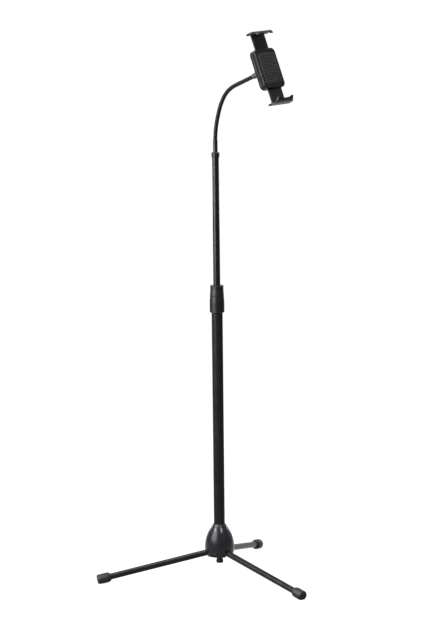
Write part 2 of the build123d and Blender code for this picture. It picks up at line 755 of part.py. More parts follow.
# Slotted sleeve that grips the upper tube
with BuildPart() as collet:
    with BuildSketch(section):
        ring(upper_tube_radius + running_fit, collet_radius, collet_bottom, collet_top)
        ring(upper_tube_radius + running_fit, collet_flange_radius, collet_flange_bottom, collet_top)
    revolve(axis=mast_axis)
    with BuildSketch(mast.offset(collet_bottom)):
        Rectangle(2 * collet_flange_radius, collet_slot_width)
        Rectangle(collet_slot_width, 2 * collet_flange_radius)
    extrude(amount=collet_slot_height, mode=Mode.SUBTRACT)
collet.part.label = "collet"
export_step(collet.part, "parts/collet.step")

# Upper tube of the mast
with BuildPart() as upper_tube:
    with BuildSketch(mast.offset(upper_tube_bottom)):
        Circle(upper_tube_radius)
        Circle(upper_tube_radius - upper_tube_wall, mode=Mode.SUBTRACT)
    extrude(amount=upper_tube_length)
    with BuildSketch(radial_plane(90, grub_height)):
        Circle(grub_radius + seat_gap)
    extrude(amount=upper_tube_radius + 1, mode=Mode.SUBTRACT)
upper_tube.part.label = "upper_tube"
export_step(upper_tube.part, "parts/upper_tube.step")

# Guide bush at the foot of the upper tube
with BuildPart() as mast_bush:
    with BuildSketch(section):
        bush_top = upper_tube_bottom + bush_height
        ring(upper_tube_radius + seat_gap, lower_bore - loose_gap, upper_tube_bottom, bush_top)
    revolve(axis=mast_axis)
    bush_rims = mast_bush.edges().filter_by(GeomType.CIRCLE).filter_by(lambda e: e.radius > lower_bore - 1)
    chamfer(bush_rims, edge_break)
mast_bush.part.label = "mast_bush"
export_step(mast_bush.part, "parts/mast_bush.step")

# Collar on the upper tube, with a plug into it and a bore for the neck
with BuildPart() as mast_ferrule:
    with BuildSketch(section):
        ring(neck_radius + seat_gap, ferrule_radius, upper_tube_top, ferrule_top)
        ring(upper_tube_radius + seat_gap, ferrule_radius, ferrule_bottom, upper_tube_top)
        plug_radius = upper_tube_radius - upper_tube_wall - seat_gap
        ring(neck_radius + seat_gap, plug_radius, ferrule_plug_bottom, upper_tube_top)
    revolve(axis=mast_axis)
    ferrule_edges = mast_ferrule.edges().filter_by(GeomType.CIRCLE)
    ferrule_rims = ferrule_edges.filter_by(lambda e: e.radius > ferrule_radius - 0.1).sort_by(Axis.Z)
    fillet(ferrule_rims[-1], ferrule_round)
    fillet(ferrule_rims[0], edge_round)
    with BuildSketch(radial_plane(90, grub_height)):
        Circle(grub_radius + seat_gap)
    extrude(amount=ferrule_radius + 1, mode=Mode.SUBTRACT)
mast_ferrule.part.label = "mast_ferrule"
export_step(mast_ferrule.part, "parts/mast_ferrule.step")

# Grub screw of the collar
with BuildPart() as ferrule_grub_screw:
    with BuildSketch(radial_plane(90, grub_height).offset(neck_radius + seat_gap)):
        Circle(grub_radius)
    extrude(amount=ferrule_radius - grub_sink - neck_radius - seat_gap)
    with BuildSketch(radial_plane(90, grub_height).offset(ferrule_radius - grub_sink)):
        RegularPolygon(grub_radius * socket_share, 6)
    extrude(amount=-grub_socket_depth, mode=Mode.SUBTRACT)
ferrule_grub_screw.part.label = "ferrule_grub_screw"
export_step(ferrule_grub_screw.part, "parts/ferrule_grub_screw.step")


def walk(start, heading, length, turn):
    """End of an arc on the side plane; heading and turn in degrees from upright to forward."""
    middle = math.radians(heading + turn / 2)
    half = math.radians(turn / 2)
    chord = length * math.sin(half) / half if turn else length
    end = (start[0] + chord * math.sin(middle), start[1] + chord * math.cos(middle))
    return end, heading + turn


def neck_run(start, heading, length, turn):
    """Line or arc of the neck's centre line, drawn on the side plane."""
    if turn:
        direction = (math.sin(math.radians(heading)), math.cos(math.radians(heading)))
        JernArc(start, direction, length / math.radians(turn), -turn)
    else:
        end, end_heading = walk(start, heading, length, turn)
        Line(start, end)


def neck_plane(point, heading):
    """Plane across the neck at a point of the side plane, with Z along the neck."""
    return Plane(
        origin=side.from_local_coords((point[0], point[1], 0)),
        x_dir=(1, 0, 0),
        z_dir=(0, -math.sin(math.radians(heading)), math.cos(math.radians(heading))),
    )


# Joints of the neck: each link starts at one and ends at the next
bend_start = (0, ferrule_top + neck_straight)
joint_points = [walk(bend_start, 0, neck_base_bend, neck_base_turn)]
for turn in link_turns:
    joint_points.append(walk(*joint_points[-1], link_length, turn))
neck_planes = [neck_plane(point, heading) for point, heading in joint_points]

# Foot of the neck, in the collar
with BuildPart() as neck_base:
    neck_foot = ferrule_top - neck_foot_depth
    with BuildLine(side) as base_line:
        Line((0, neck_foot), bend_start)
        base_share = 1 - joint_gap / 2 / neck_base_bend
        neck_run(bend_start, 0, neck_base_bend * base_share, neck_base_turn * base_share)
    with BuildSketch(mast.offset(neck_foot)):
        Circle(neck_radius)
    sweep(path=base_line.line)
    with Locations(neck_planes[0]):
        Sphere(joint_ball_radius + loose_gap, mode=Mode.SUBTRACT)
neck_base.part.label = "neck_base"
export_step(neck_base.part, "parts/neck_base.step")

# Thicker sleeve round the foot of the neck
with BuildPart() as neck_sleeve:
    with BuildLine(side) as sleeve_line:
        Line((0, ferrule_top + seat_gap), bend_start)
        sleeve_share = 1 - sleeve_short / neck_base_bend
        neck_run(bend_start, 0, neck_base_bend * sleeve_share, neck_base_turn * sleeve_share)
    with BuildSketch(mast.offset(ferrule_top + seat_gap)):
        Circle(neck_radius + seat_gap + sleeve_wall)
        Circle(neck_radius + seat_gap, mode=Mode.SUBTRACT)
    sweep(path=sleeve_line.line)
    sleeve_rims = neck_sleeve.edges().filter_by(GeomType.CIRCLE).group_by(Axis.Z)[-1]
    chamfer(sleeve_rims.sort_by(SortBy.RADIUS)[-1], sleeve_bevel)
neck_sleeve.part.label = "neck_sleeve"
export_step(neck_sleeve.part, "parts/neck_sleeve.step")

# Links of the neck: a ball at the lower end sits in the cup of the link below
for k, turn in enumerate(link_turns):
    start_point, start_heading = joint_points[k]
    gap_turn = turn * joint_gap / 2 / link_length
    run_start, run_heading = walk(start_point, start_heading, joint_gap / 2, gap_turn)
    last = k == len(link_turns) - 1
    trim = joint_gap / 2 if last else joint_gap
    with BuildPart() as neck_link:
        with BuildLine(side) as link_line:
            neck_run(run_start, run_heading, link_length - trim, turn * (1 - trim / link_length))
        with BuildSketch(neck_plane(run_start, run_heading)):
            Circle(neck_radius)
        sweep(path=link_line.line)
        with Locations(neck_planes[k]):
            Sphere(joint_ball_radius)
        if not last:
            with Locations(neck_planes[k + 1]):
                Sphere(joint_ball_radius + loose_gap, mode=Mode.SUBTRACT)
    neck_link.part.label = f"neck_link_{k + 1}"
    export_step(neck_link.part, f"parts/neck_link_{k + 1}.step")

# Ball stud crimped on the end of the neck
stud_plane = neck_planes[-1].offset(crimp_start + crimp_length - crimp_bore_depth)
with BuildPart() as ball_stud:
    with BuildSketch(stud_plane.offset(-crimp_start - crimp_length)):
        Circle(crimp_radius)
    extrude(amount=crimp_length)
    fillet(ball_stud.edges().filter_by(GeomType.CIRCLE), crimp_round)
    with BuildSketch(stud_plane.offset(-crimp_start)):
        Circle(stud_neck_radius)
    extrude(amount=crimp_start)
    with Locations(stud_plane):
        Sphere(ball_radius)
    with BuildSketch(stud_plane.offset(-crimp_start - crimp_length)):
        Circle(neck_radius + seat_gap)
    extrude(amount=crimp_bore_depth + seat_gap, mode=Mode.SUBTRACT)
ball_stud.part.label = "ball_stud"
export_step(ball_stud.part, "parts/ball_stud.step")

# Plane of the holder
tilt = math.radians(holder_tilt)
turned = math.radians(holder_turn)
holder = Plane(
    origin=stud_plane.origin,
    x_dir=(math.cos(turned), math.sin(turned) * math.sin(tilt), math.sin(turned) * math.cos(tilt)),
    z_dir=(0, -math.cos(tilt), math.sin(tilt)),
)


# Plastic cup round the ball
with BuildPart() as ball_seat:
    with BuildSketch(holder.offset(-seat_mouth)):
        Circle(seat_radius)
    extrude(amount=seat_mouth + ball_radius + running_fit + seat_floor)
    with Locations(holder):
        Sphere(ball_radius + running_fit, mode=Mode.SUBTRACT)
    with BuildSketch(holder.offset(-seat_mouth)):
        Rectangle(2 * seat_radius + 1, seat_slot_width)
        Rectangle(seat_slot_width, 2 * seat_radius + 1)
    extrude(amount=seat_slot_depth, mode=Mode.SUBTRACT)
ball_seat.part.label = "ball_seat"
export_step(ball_seat.part, "parts/ball_seat.step")

# Rear shell of the holder, with the socket of the ball
case_screw_spots = [(x, y) for x in (-boss_x, boss_x) for y in (-boss_y, boss_y)]
arm_screw_spots = [(-arm_screw_x, -boss_y), (arm_screw_x, -boss_y)]
with BuildPart() as housing_back:
    with BuildSketch(holder.offset(housing_back_face)):
        RectangleRounded(housing_width, housing_height, housing_corner)
    extrude(amount=housing_split - housing_back_face)
    back_edges = housing_back.faces().sort_by(Axis(holder.origin, holder.z_dir))[0].edges()
    fillet(back_edges, housing_edge)
    inner_width = housing_width - 2 * housing_wall
    inner_height = housing_height - 2 * housing_wall
    with BuildSketch(holder.offset(housing_back_face + housing_wall)):
        RectangleRounded(inner_width, inner_height, housing_corner - housing_wall)
    extrude(amount=housing_split, mode=Mode.SUBTRACT)
    with BuildSketch(holder.offset(housing_back_face + housing_wall)):
        with Locations(*case_screw_spots):
            Circle(boss_radius)
        with Locations((-rail_x, 0), (rail_x, 0)):
            Rectangle(rail_width, rail_length)
    extrude(amount=housing_split - housing_back_face - housing_wall)
    with BuildSketch(holder.offset(housing_back_face + housing_wall)):
        with Locations(*arm_screw_spots):
            Circle(boss_radius)
    extrude(amount=arm_back - seat_gap - housing_back_face - housing_wall)
    with BuildSketch(holder.offset(housing_back_face + housing_wall)):
        with Locations((0, thumb_y)):
            Circle(nut_boss_radius)
    extrude(amount=nut_height)
    with BuildSketch(holder.offset(-barrel_mouth)):
        Circle(barrel_outer)
    extrude(amount=barrel_mouth + housing_back_face + housing_wall)
    with BuildSketch(holder.offset(-barrel_mouth)):
        Circle(barrel_radius)
    extrude(amount=barrel_mouth + barrel_floor, mode=Mode.SUBTRACT)
    with BuildSketch(holder.offset(housing_back_face)):
        with Locations(*case_screw_spots, *arm_screw_spots):
            Circle(case_screw_radius + seat_gap)
        with Locations((0, thumb_y)):
            Circle(thumb_stem_radius + running_fit)
    extrude(amount=housing_split, mode=Mode.SUBTRACT)
    with BuildSketch(holder.offset(housing_back_face)):
        with Locations(*case_screw_spots, *arm_screw_spots):
            Circle(case_screw_head_radius + seat_gap)
    extrude(amount=case_screw_head_height, mode=Mode.SUBTRACT)
    with BuildSketch(holder.offset(housing_back_face + housing_wall)):
        with Locations((0, thumb_y)):
            RegularPolygon(nut_across / 2 + seat_gap, 6, major_radius=False)
    extrude(amount=nut_height + 1, mode=Mode.SUBTRACT)
housing_back.part.label = "housing_back"
export_step(housing_back.part, "parts/housing_back.step")

# Front shell of the holder, with the windows for the arms
with BuildPart() as housing_front:
    with BuildSketch(holder.offset(housing_split)):
        RectangleRounded(housing_width, housing_height, housing_corner)
    extrude(amount=housing_front_face - housing_split)
    front_edges = housing_front.faces().sort_by(Axis(holder.origin, holder.z_dir))[-1].edges()
    fillet(front_edges, housing_edge)
    with BuildSketch(holder.offset(housing_split)):
        RectangleRounded(inner_width, inner_height, housing_corner - housing_wall)
    extrude(amount=housing_front_face - housing_wall - housing_split, mode=Mode.SUBTRACT)
    guide_x = arm_width / 2 + loose_gap + guide_wall / 2
    with BuildSketch(holder.offset(housing_split)):
        with Locations(*case_screw_spots):
            Circle(boss_radius)
        with Locations((-guide_x, 0), (guide_x, 0)):
            Rectangle(guide_wall, inner_height)
    extrude(amount=housing_front_face - housing_wall - housing_split)
    with BuildSketch(holder.offset(window_front)):
        with Locations((-rail_x, 0), (rail_x, 0)):
            Rectangle(rail_width, rail_length)
    extrude(amount=housing_front_face - housing_wall - window_front)
    with BuildSketch(holder.offset(housing_split)):
        Rectangle(arm_width + 2 * loose_gap, housing_height + 2)
    extrude(amount=window_front - housing_split, mode=Mode.SUBTRACT)
    with BuildSketch(holder.offset(housing_split)):
        with Locations(*case_screw_spots):
            Circle(case_screw_radius + seat_gap)
    extrude(amount=case_screw_seat + case_screw_length + seat_gap - housing_split, mode=Mode.SUBTRACT)
housing_front.part.label = "housing_front"
export_step(housing_front.part, "parts/housing_front.step")

# Rubber pad that the tablet lies on
with BuildPart() as front_pad:
    with BuildSketch(holder.offset(housing_front_face)):
        RectangleRounded(pad_width, pad_height, pad_corner)
    extrude(amount=pad_thickness)
    fillet(front_pad.faces().sort_by(Axis(holder.origin, holder.z_dir))[-1].edges(), pad_round)
front_pad.part.label = "front_pad"
export_step(front_pad.part, "parts/front_pad.step")

# Screws of the housing and of the fixed arm
with BuildPart() as housing_screws:
    with BuildSketch(holder.offset(housing_back_face)):
        with Locations(*case_screw_spots, *arm_screw_spots):
            Circle(case_screw_head_radius)
    extrude(amount=case_screw_head_height)
    with BuildSketch(holder.offset(case_screw_seat)):
        with Locations(*case_screw_spots, *arm_screw_spots):
            Circle(case_screw_radius)
    extrude(amount=case_screw_length)
    with BuildSketch(holder.offset(housing_back_face)):
        with Locations(*case_screw_spots, *arm_screw_spots):
            Rectangle(2 * case_screw_radius, case_screw_slot)
            Rectangle(case_screw_slot, 2 * case_screw_radius)
    extrude(amount=case_screw_slot_depth, mode=Mode.SUBTRACT)
housing_screws.part.label = "housing_screws"
export_step(housing_screws.part, "parts/housing_screws.step")

# Arms with their jaws: the upper one slides, the lower one is screwed in
for jaw_name, up, inner_end in (("upper", 1, upper_arm_end), ("lower", -1, lower_arm_end)):
    plate_height = jaw_outer - up * inner_end
    lip_inner = jaw_inner - lip_height
    hook_foot = pad_face + hook_start
    across_jaw = Plane(origin=holder.origin, x_dir=holder.z_dir, z_dir=holder.x_dir * -up)
    along_jaw = Plane(origin=holder.origin, x_dir=holder.x_dir * -up, z_dir=holder.y_dir * up)
    with BuildPart() as arm:
        with BuildSketch(holder.offset(arm_back)):
            with Locations((0, (up * jaw_outer + inner_end) / 2)):
                Rectangle(arm_width, plate_height)
            if up < 0:
                with Locations(*arm_screw_spots):
                    Circle(case_screw_radius + seat_gap, mode=Mode.SUBTRACT)
        extrude(amount=arm_thickness)
        with BuildSketch(across_jaw):
            with BuildLine():
                Polyline(
                    (lip_front, lip_inner),
                    (lip_front - lip_thickness, lip_inner),
                    (lip_back, jaw_seat),
                    (arm_back, jaw_seat),
                    (arm_back, jaw_outer),
                    (hook_foot, jaw_outer),
                )
                ThreePointArc(
                    (hook_foot, jaw_outer),
                    ((hook_foot + lip_front) / 2 + hook_bulge, (jaw_outer + lip_inner) / 2 + hook_bulge),
                    (lip_front, lip_inner),
                )
            hook_profile = make_face()
            fillet(hook_profile.vertices().group_by(Axis.Y)[0], lip_round)
        extrude(amount=jaw_width / 2, both=True)
        with BuildSketch(along_jaw):
            for hand in (1, -1):
                with BuildLine():
                    Polyline(
                        (hand * lip_width / 2, lip_front + 1),
                        (hand * (jaw_width / 2 + 1), lip_front + 1),
                        (hand * (jaw_width / 2 + 1), pad_face),
                        (hand * jaw_width / 2, pad_face),
                    )
                    Spline(
                        (hand * jaw_width / 2, pad_face),
                        (hand * lip_width / 2, lip_front + 1),
                        tangents=[(0, 1), (0, 1)],
                    )
                make_face()
        extrude(amount=jaw_outer + 1, mode=Mode.SUBTRACT)
        with BuildSketch(holder.offset(lip_back)):
            with Locations((0, up * lip_inner)):
                Ellipse(lip_dip_width / 2, lip_dip_depth)
        extrude(amount=hook_depth + 1, mode=Mode.SUBTRACT)
    arm.part.label = f"{jaw_name}_arm"
    export_step(arm.part, f"parts/{jaw_name}_arm.step")

    with BuildPart() as jaw_pad:
        with BuildSketch(holder.offset(pad_face)):
            with Locations((0, up * (jaw_inner + jaw_pad_thickness / 2))):
                Rectangle(jaw_pad_width, jaw_pad_thickness)
        extrude(amount=jaw_slot - loose_gap)
    jaw_pad.part.label = f"{jaw_name}_jaw_pad"
    export_step(jaw_pad.part, f"parts/{jaw_name}_jaw_pad.step")

# Ring nut that squeezes the socket on the ball
with BuildPart() as lock_ring:
    with BuildSketch(holder.offset(ring_back)):
        Circle(ring_radius)
        Circle(ring_mouth_radius, mode=Mode.SUBTRACT)
    extrude(amount=ring_front - ring_back)
    with BuildSketch(holder.offset(ring_back + ring_lip)):
        Circle(ring_bore)
    extrude(amount=ring_front - ring_back, mode=Mode.SUBTRACT)
    ring_edges = lock_ring.edges().filter_by(GeomType.CIRCLE)
    chamfer(ring_edges.filter_by(lambda e: e.radius > ring_radius - 0.1), ring_bevel)
    with BuildSketch(holder.offset(ring_back)):
        with PolarLocations(ring_radius + ring_flute_radius - ring_flute_depth, ring_flutes):
            Circle(ring_flute_radius)
    extrude(amount=ring_front - ring_back, mode=Mode.SUBTRACT)
lock_ring.part.label = "lock_ring"
export_step(lock_ring.part, "parts/lock_ring.step")

# Thumb screw that holds the sliding arm, with its nut and pressure pad
thumb = Plane(origin=holder.from_local_coords((0, thumb_y, 0)), x_dir=holder.x_dir, z_dir=holder.z_dir)
with BuildPart() as jaw_lock_knob:
    collar_back = housing_back_face - loose_gap - thumb_collar_height
    with BuildSketch(thumb.offset(collar_back - thumb_head_height)):
        Circle(thumb_radius)
        with PolarLocations(thumb_radius + thumb_lobe_radius - thumb_lobe_depth, thumb_lobes):
            Circle(thumb_lobe_radius, mode=Mode.SUBTRACT)
    extrude(amount=thumb_head_height)
    thumb_ends = jaw_lock_knob.faces().filter_by(Axis(thumb.origin, thumb.z_dir)).edges()
    chamfer(thumb_ends, thumb_bevel)
    with BuildSketch(thumb.offset(collar_back)):
        Circle(thumb_collar_radius)
    extrude(amount=thumb_collar_height)
    with BuildSketch(thumb.offset(collar_back)):
        Circle(thumb_stem_radius)
    extrude(amount=shoe_back - seat_gap - collar_back)
jaw_lock_knob.part.label = "jaw_lock_knob"
export_step(jaw_lock_knob.part, "parts/jaw_lock_knob.step")

with BuildPart() as lock_nut:
    with BuildSketch(thumb.offset(housing_back_face + housing_wall)):
        RegularPolygon(nut_across / 2, 6, major_radius=False)
        Circle(thumb_stem_radius + running_fit, mode=Mode.SUBTRACT)
    extrude(amount=nut_height)
lock_nut.part.label = "lock_nut"
export_step(lock_nut.part, "parts/lock_nut.step")

with BuildPart() as lock_shoe:
    with BuildSketch(thumb.offset(shoe_back)):
        Circle(shoe_radius)
    extrude(amount=shoe_thickness)
lock_shoe.part.label = "lock_shoe"
export_step(lock_shoe.part, "parts/lock_shoe.step")
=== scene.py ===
import json
import math

import bpy
from mathutils import Matrix, Vector

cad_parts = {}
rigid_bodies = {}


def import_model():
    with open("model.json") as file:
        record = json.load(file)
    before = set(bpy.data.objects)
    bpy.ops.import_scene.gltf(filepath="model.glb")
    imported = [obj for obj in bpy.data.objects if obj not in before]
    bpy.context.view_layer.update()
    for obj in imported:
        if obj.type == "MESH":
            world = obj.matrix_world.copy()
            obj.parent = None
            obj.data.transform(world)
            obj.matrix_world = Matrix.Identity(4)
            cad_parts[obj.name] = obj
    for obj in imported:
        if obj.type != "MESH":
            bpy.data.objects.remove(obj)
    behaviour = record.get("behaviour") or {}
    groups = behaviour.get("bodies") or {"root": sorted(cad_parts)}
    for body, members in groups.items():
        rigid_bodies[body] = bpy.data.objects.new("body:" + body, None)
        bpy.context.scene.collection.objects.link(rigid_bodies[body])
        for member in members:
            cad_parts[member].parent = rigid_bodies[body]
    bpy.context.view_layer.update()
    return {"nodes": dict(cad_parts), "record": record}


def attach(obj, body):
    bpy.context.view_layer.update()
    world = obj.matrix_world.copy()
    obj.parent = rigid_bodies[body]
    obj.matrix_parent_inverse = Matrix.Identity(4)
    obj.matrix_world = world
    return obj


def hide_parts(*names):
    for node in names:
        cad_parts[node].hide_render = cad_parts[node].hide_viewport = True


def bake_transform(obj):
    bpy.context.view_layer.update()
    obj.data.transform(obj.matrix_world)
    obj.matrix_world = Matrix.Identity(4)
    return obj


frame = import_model()

# Sizes in metres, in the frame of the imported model; the mast stands on Y = MAST_Y
MM = 0.001
MICRON = 0.001 * MM
WELD = 0.002 * MM
MAST_Y = 67.365 * MM

# Where the photographer stood
CAMERA_AZIMUTH = 229.29
CAMERA_DISTANCE = 6.7445
CAMERA_HEIGHT = 1.7638
CAMERA_PITCH = 0.1691
CAMERA_ROLL = -0.01115
CAMERA_YAW = -0.00225
CAMERA_LENS = 171.16
FILM_HEIGHT = 36.0
VIEW_END = 100


def toward(azimuth):
    """Level direction from the mast, azimuth from +X towards +Y, in degrees."""
    angle = math.radians(azimuth)
    return Vector((math.cos(angle), math.sin(angle), 0))


def place_camera():
    """Camera at the photographer's place, aimed at the mast and turned by the fitted angles."""
    turn = math.radians(CAMERA_AZIMUTH + 90)
    spin = Matrix.Rotation(turn, 3, "Z")
    right = Vector((math.cos(CAMERA_YAW), -math.sin(CAMERA_YAW), 0))
    ahead = Vector((
        math.sin(CAMERA_YAW) * math.cos(CAMERA_PITCH),
        math.cos(CAMERA_YAW) * math.cos(CAMERA_PITCH),
        -math.sin(CAMERA_PITCH),
    ))
    above = right.cross(ahead)
    rolled_right = right * math.cos(CAMERA_ROLL) + above * math.sin(CAMERA_ROLL)
    rolled_above = above * math.cos(CAMERA_ROLL) - right * math.sin(CAMERA_ROLL)
    columns = [spin @ rolled_right, spin @ rolled_above, spin @ -ahead]
    data = bpy.data.cameras.new("photographer")
    camera = bpy.data.objects.new("photographer", data)
    bpy.context.scene.collection.objects.link(camera)
    rotation = Matrix(columns).transposed().to_4x4()
    spot = toward(CAMERA_AZIMUTH) * CAMERA_DISTANCE + Vector((0, MAST_Y, CAMERA_HEIGHT))
    camera.matrix_world = Matrix.Translation(spot) @ rotation
    data.sensor_fit = "VERTICAL"
    data.sensor_height = FILM_HEIGHT
    data.lens = CAMERA_LENS
    data.clip_end = VIEW_END
    bpy.context.scene.camera = camera


place_camera()

# Studio: what lights the stand, and the white paper that the camera and reflections see
ROOM_COLOUR = (0.94, 0.96, 1.0, 1)
ROOM_LIGHT = 0.4
BACKDROP_IN_REFLECTION = 0.65
FLOOR_SIZE = 60
FLOOR_HEIGHT = -0.4 * MM
FLOOR_SHADE = 0.12
FLOOR_GLOW = 0.96
PAPER_FADE_START = 0.8
PAPER_FADE_END = 2.6
PAPER_FAR_SHARE = 0.3


def math_node(tree, operation, first, second):
    """Result of an operation on two sockets or values."""
    node = tree.nodes.new("ShaderNodeMath")
    node.operation = operation
    for socket, value in zip(node.inputs, (first, second)):
        if isinstance(value, (int, float)):
            socket.default_value = value
        else:
            tree.links.new(value, socket)
    return node.outputs[0]


def seen_directly(tree, in_reflection):
    """1 for what the camera or a refraction sees, its share for what a reflection sees, else 0."""
    path = tree.nodes.new("ShaderNodeLightPath")
    mirrored = math_node(tree, "MULTIPLY", path.outputs["Is Glossy Ray"], in_reflection)
    plain = math_node(tree, "MAXIMUM", path.outputs["Is Camera Ray"], path.outputs["Is Transmission Ray"])
    return math_node(tree, "MAXIMUM", plain, mirrored)


def studio_world():
    """Plain room light on the stand, and a white backdrop behind it."""
    world = bpy.data.worlds.new("studio_white")
    bpy.context.scene.world = world
    world.use_nodes = True
    tree = world.node_tree
    tree.nodes.clear()
    room = tree.nodes.new("ShaderNodeBackground")
    room.inputs["Color"].default_value = ROOM_COLOUR
    room.inputs["Strength"].default_value = ROOM_LIGHT
    paper = tree.nodes.new("ShaderNodeBackground")
    paper.inputs["Color"].default_value = (1, 1, 1, 1)
    paper.inputs["Strength"].default_value = 1.0
    blend = tree.nodes.new("ShaderNodeMixShader")
    out = tree.nodes.new("ShaderNodeOutputWorld")
    tree.links.new(seen_directly(tree, BACKDROP_IN_REFLECTION), blend.inputs["Fac"])
    tree.links.new(room.outputs[0], blend.inputs[1])
    tree.links.new(paper.outputs[0], blend.inputs[2])
    tree.links.new(blend.outputs[0], out.inputs["Surface"])


studio_world()


def studio_floor():
    """Pale floor that reads white like the backdrop, and still takes the stand's shadow.

    In reflections the paper fades out some way from the stand, as a sheet of paper in a studio ends.
    """
    bpy.ops.object.select_all(action="DESELECT")
    bpy.ops.mesh.primitive_plane_add(size=FLOOR_SIZE, location=(0, 0, FLOOR_HEIGHT))
    floor = bpy.context.active_object
    floor.name = "studio_floor"
    material = bpy.data.materials.new("pale_paper")
    material.use_nodes = True
    tree = material.node_tree
    tree.nodes.clear()
    paper = tree.nodes.new("ShaderNodeBsdfDiffuse")
    paper.inputs["Color"].default_value = (FLOOR_SHADE, FLOOR_SHADE, FLOOR_SHADE, 1)
    glow = tree.nodes.new("ShaderNodeEmission")
    total = tree.nodes.new("ShaderNodeAddShader")
    out = tree.nodes.new("ShaderNodeOutputMaterial")
    place = tree.nodes.new("ShaderNodeTexCoord")
    away = tree.nodes.new("ShaderNodeVectorMath")
    away.operation = "LENGTH"
    paper_end = tree.nodes.new("ShaderNodeMapRange")
    paper_end.inputs["From Min"].default_value = PAPER_FADE_START
    paper_end.inputs["From Max"].default_value = PAPER_FADE_END
    paper_end.inputs["To Min"].default_value = 1.0
    paper_end.inputs["To Max"].default_value = PAPER_FAR_SHARE
    tree.links.new(place.outputs["Object"], away.inputs[0])
    tree.links.new(away.outputs["Value"], paper_end.inputs["Value"])
    seen = seen_directly(tree, paper_end.outputs["Result"])
    tree.links.new(math_node(tree, "MULTIPLY", seen, FLOOR_GLOW), glow.inputs["Strength"])
    tree.links.new(paper.outputs[0], total.inputs[0])
    tree.links.new(glow.outputs[0], total.inputs[1])
    tree.links.new(total.outputs[0], out.inputs["Surface"])
    # The glow lights nothing, so no lamp samples are spent on it
    material.cycles.emission_sampling = "NONE"
    floor.data.materials.append(material)


studio_floor()


def hang_lamp(name, place, aim, width, height, radiance, gloss_only=False):
    """Area lamp of one radiance; a gloss_only lamp shows in reflections and lights nothing else."""
    data = bpy.data.lights.new(name, "AREA")
    data.shape = "RECTANGLE"
    data.size = width
    data.size_y = height
    data.energy = radiance * 4 * math.pi * width * height
    lamp = bpy.data.objects.new(name, data)
    bpy.context.scene.collection.objects.link(lamp)
    lamp.location = place
    lamp.rotation_euler = aim.to_track_quat("-Z", "Y").to_euler()
    lamp.visible_diffuse = not gloss_only
    lamp.visible_camera = False


def softbox(name, azimuth, distance, low, high, width, radiance, gloss_only=False):
    """Upright softbox that faces the mast from low to high."""
    place = Vector((0, MAST_Y, (low + high) / 2)) + toward(azimuth) * distance
    hang_lamp(name, place, -toward(azimuth), width, high - low, radiance, gloss_only)


window = {"azimuth": CAMERA_AZIMUTH - 54, "distance": 1.5, "low": 0.46, "high": 1.75, "width": 1.4}
softbox("window_left", **window, radiance=1.2)
softbox("window_left_sheen", **window, radiance=14, gloss_only=True)
softbox(
    "softbox_left_sheen", CAMERA_AZIMUTH - 70, distance=2.2, low=1.9, high=3.2, width=1.4,
    radiance=5, gloss_only=True)
softbox(
    "softbox_right_sheen", CAMERA_AZIMUTH + 31, distance=2.2, low=2.3, high=3.9, width=0.9,
    radiance=7, gloss_only=True)
for name, azimuth in (("left", CAMERA_AZIMUTH - 145), ("right", CAMERA_AZIMUTH + 140)):
    softbox(f"softbox_back_{name}", azimuth, distance=2.4, low=0.5, high=2.0, width=0.8, radiance=1.3)
hang_lamp("softbox_top", Vector((0, 0, 2.8)), Vector((0, 0, -1)), width=1.4, height=1.4, radiance=3.6)

# Materials
PATCHES_PER_METRE = 34
ROUGHNESS_SPREAD = 0.03
NOISE_DARKEST = 0.35
NOISE_LIGHTEST = 0.65


def shader(name):
    material = bpy.data.materials.new(name)
    material.use_nodes = True
    tree = material.node_tree
    return material, tree, tree.nodes["Principled BSDF"]


def noise(tree, scale, detail):
    """Noise on Object coordinates; scale in blobs per metre."""
    place = tree.nodes.new("ShaderNodeTexCoord")
    texture = tree.nodes.new("ShaderNodeTexNoise")
    texture.inputs["Scale"].default_value = scale
    texture.inputs["Detail"].default_value = detail
    tree.links.new(place.outputs["Object"], texture.inputs["Vector"])
    return texture.outputs["Fac"]


def ramp(tree, source, low, high):
    """The middle range of a noise, spread from low to high."""
    node = tree.nodes.new("ShaderNodeMapRange")
    node.inputs["From Min"].default_value = NOISE_DARKEST
    node.inputs["From Max"].default_value = NOISE_LIGHTEST
    node.inputs["To Min"].default_value = low
    node.inputs["To Max"].default_value = high
    tree.links.new(source, node.inputs["Value"])
    return node.outputs["Result"]


def two_tone(tree, source, first, second):
    node = tree.nodes.new("ShaderNodeMix")
    node.data_type = "RGBA"
    node.inputs["A"].default_value = (*first, 1)
    node.inputs["B"].default_value = (*second, 1)
    tree.links.new(source, node.inputs["Factor"])
    return node.outputs["Result"]


def bump(tree, source, depth, base=None):
    node = tree.nodes.new("ShaderNodeBump")
    node.inputs["Distance"].default_value = depth
    tree.links.new(source, node.inputs["Height"])
    if base:
        tree.links.new(base, node.inputs["Normal"])
    return node.outputs["Normal"]


def finish(name, dark, light, rough, wave, wave_depth, grain, grain_depth, specular, metallic=0.0):
    """Two close tones, uneven gloss, a long wave of the surface and a fine grain, sizes in metres."""
    material, tree, principled = shader(name)
    patches = noise(tree, PATCHES_PER_METRE, 4)
    waves = noise(tree, 1 / wave, 2)
    grains = noise(tree, 1 / grain, 3)
    tones = two_tone(tree, ramp(tree, patches, 0, 1), dark, light)
    tree.links.new(tones, principled.inputs["Base Color"])
    uneven_gloss = ramp(tree, patches, rough - ROUGHNESS_SPREAD, rough + ROUGHNESS_SPREAD)
    tree.links.new(uneven_gloss, principled.inputs["Roughness"])
    wavy = bump(tree, waves, wave_depth)
    tree.links.new(bump(tree, grains, grain_depth, wavy), principled.inputs["Normal"])
    principled.inputs["Specular IOR Level"].default_value = specular
    principled.inputs["Metallic"].default_value = metallic
    return material


def grey(value, warmth=0.0):
    """Grey of one brightness, warmer above 0 and cooler below."""
    return (value * (1 + warmth), value, value * (1 - warmth))


